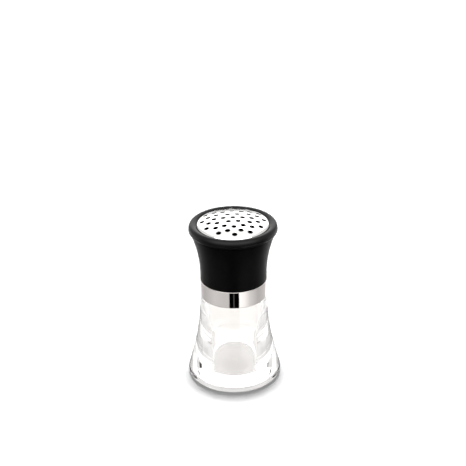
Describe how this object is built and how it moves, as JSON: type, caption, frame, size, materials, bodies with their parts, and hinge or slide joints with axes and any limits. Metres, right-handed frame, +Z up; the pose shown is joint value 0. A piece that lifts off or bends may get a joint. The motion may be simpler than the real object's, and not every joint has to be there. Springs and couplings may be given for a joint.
{
  "type": "spice shaker",
  "caption": "Flared clear spice shaker with a polished collar and a screw-on black head that holds a domed sieve plate for shaking out coarse seasoning.",
  "frame": {"origin": "centre of the face that the jar stands on", "axes": "+Z up along the shaker's axis, through the middle of the sieve plate; +X and +Y are equal by symmetry, and one thread of the screw begins on +X"},
  "size_m": [0.0674, 0.0674, 0.125],
  "materials": {
    "clear_acrylic": "polished clear moulded acrylic",
    "polished_steel": "polished stainless steel",
    "silicone": "translucent silicone",
    "black_liner": "moulded polypropylene",
    "black_abs": "satin moulded ABS",
    "sieve_steel": "polished pressed stainless steel"
  },
  "bodies": {
    "jar_body": {"jar": "clear_acrylic", "collar_band": "polished_steel"},
    "seal": {"seal_ring": "silicone"},
    "head": {"thread_liner": "black_liner", "head_shell": "black_abs", "rim_ring": "black_abs", "sieve_plate": "sieve_steel"}
  },
  "joints": [
    {"name": "head_rise", "type": "slide", "parent": "jar_body", "child": "seal", "axis": [0, 0, 1], "range_m": [0, 0.01201]},
    {"name": "head_turn", "type": "hinge", "parent": "seal", "child": "head", "pos_m": [0, 0, 0.09], "axis": [0, 0, 1], "range_deg": [0, 720]}
  ],
  "couplings": [
    {"joint": "head_rise", "follows": "head_turn", "m_per_rad": 0.00095493}
  ]
}
